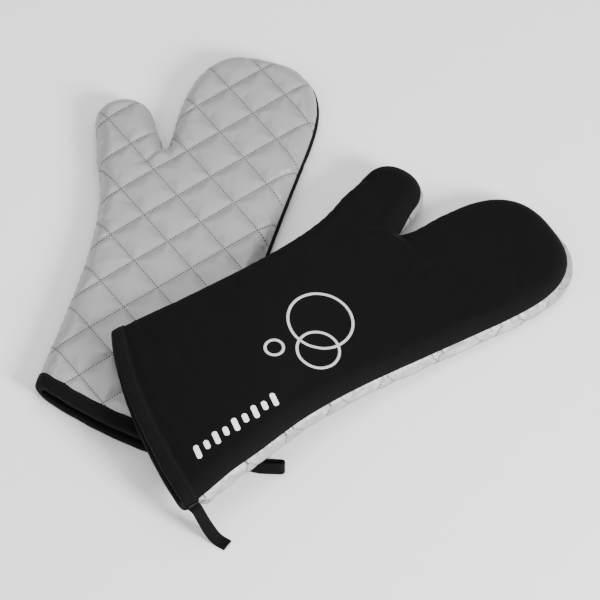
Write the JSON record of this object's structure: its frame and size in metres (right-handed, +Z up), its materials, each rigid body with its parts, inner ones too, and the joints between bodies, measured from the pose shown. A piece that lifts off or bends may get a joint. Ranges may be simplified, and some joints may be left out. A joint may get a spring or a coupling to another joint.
{
  "type": "heat resistant glove pair",
  "caption": "Pair of long padded barbecue mitts with quilted silver palms, black backs, bound cuffs and hanging loops, lying crossed.",
  "frame": {"origin": "middle of the pair's footprint, on the table", "axes": "+Z up; +X to the right and +Y away from the viewer who looks at the crossed pair with both cuffs near"},
  "size_m": [0.4944, 0.5526, 0.0536],
  "materials": {
    "silver_cloth": "satin aluminised coating on quilted cotton",
    "black_cloth": "matt plain woven cotton",
    "wadding": "matt felted wadding",
    "lining_cloth": "matt cotton",
    "black_tape": "matt cotton binding tape",
    "silver_thread": "twisted polyester thread",
    "black_thread": "twisted polyester thread",
    "grey_print": "flexible screen print",
    "white_print": "flexible screen print"
  },
  "bodies": {
    "left_hand": {"left_hand_palm_shell": "silver_cloth", "left_hand_palm_padding": "wadding", "left_hand_palm_lining": "lining_cloth", "left_hand_back_shell": "black_cloth", "left_hand_back_padding": "wadding", "left_hand_back_lining": "lining_cloth", "left_cuff_binding": "black_tape", "left_loop_tack": "black_tape"},
    "left_fingers": {"left_finger_palm_shell": "silver_cloth", "left_finger_palm_padding": "wadding", "left_finger_palm_lining": "lining_cloth", "left_finger_back_shell": "black_cloth", "left_finger_back_padding": "wadding", "left_finger_back_lining": "lining_cloth"},
    "left_thumb": {"left_thumb_palm_shell": "silver_cloth", "left_thumb_palm_padding": "wadding", "left_thumb_palm_lining": "lining_cloth", "left_thumb_back_shell": "black_cloth", "left_thumb_back_padding": "wadding", "left_thumb_back_lining": "lining_cloth"},
    "left_loop": {"left_hanging_loop": "black_tape"},
    "right_hand": {"right_hand_palm_shell": "silver_cloth", "right_hand_palm_padding": "wadding", "right_hand_palm_lining": "lining_cloth", "right_hand_back_shell": "black_cloth", "right_hand_back_padding": "wadding", "right_hand_back_lining": "lining_cloth", "right_cuff_binding": "black_tape", "right_loop_tack": "black_tape"},
    "right_fingers": {"right_finger_palm_shell": "silver_cloth", "right_finger_palm_padding": "wadding", "right_finger_palm_lining": "lining_cloth", "right_finger_back_shell": "black_cloth", "right_finger_back_padding": "wadding", "right_finger_back_lining": "lining_cloth"},
    "right_thumb": {"right_thumb_palm_shell": "silver_cloth", "right_thumb_palm_padding": "wadding", "right_thumb_palm_lining": "lining_cloth", "right_thumb_back_shell": "black_cloth", "right_thumb_back_padding": "wadding", "right_thumb_back_lining": "lining_cloth"},
    "right_loop": {"right_hanging_loop": "black_tape"}
  },
  "joints": [
    {"name": "left_finger_fold", "type": "hinge", "parent": "left_hand", "child": "left_fingers", "pos_m": [-0.07039, 0.15148, 0.0263], "axis": [0.9646, -0.2639, 0], "range_deg": [0, 60]},
    {"name": "left_thumb_fold", "type": "hinge", "parent": "left_hand", "child": "left_thumb", "pos_m": [-0.16794, 0.124, 0.0263], "axis": [0.6558, 0.7549, 0], "range_deg": [0, 60]},
    {"name": "left_loop_swing", "type": "hinge", "parent": "left_hand", "child": "left_loop", "pos_m": [-0.06281, -0.1879, 0.011], "axis": [0, 0, 1], "range_deg": [-20, 20]},
    {"name": "right_glove_lift", "type": "slide", "parent": "left_hand", "child": "right_hand", "axis": [0, 0, 1], "range_m": [0, 0.15]},
    {"name": "right_finger_fold", "type": "hinge", "parent": "right_hand", "child": "right_fingers", "pos_m": [0.12602, 0.00647, 0.03149], "axis": [0.5379, -0.8411, -0.0563], "range_deg": [0, 45]},
    {"name": "right_thumb_fold", "type": "hinge", "parent": "right_hand", "child": "right_thumb", "pos_m": [0.03522, 0.05148, 0.04371], "axis": [0.9812, 0.1191, -0.1517], "range_deg": [0, 45]},
    {"name": "right_loop_swing", "type": "hinge", "parent": "right_hand", "child": "right_loop", "pos_m": [-0.09588, -0.25042, 0.03131], "axis": [-0.6481, -0.7615, 0], "range_deg": [0, 80]}
  ]
}
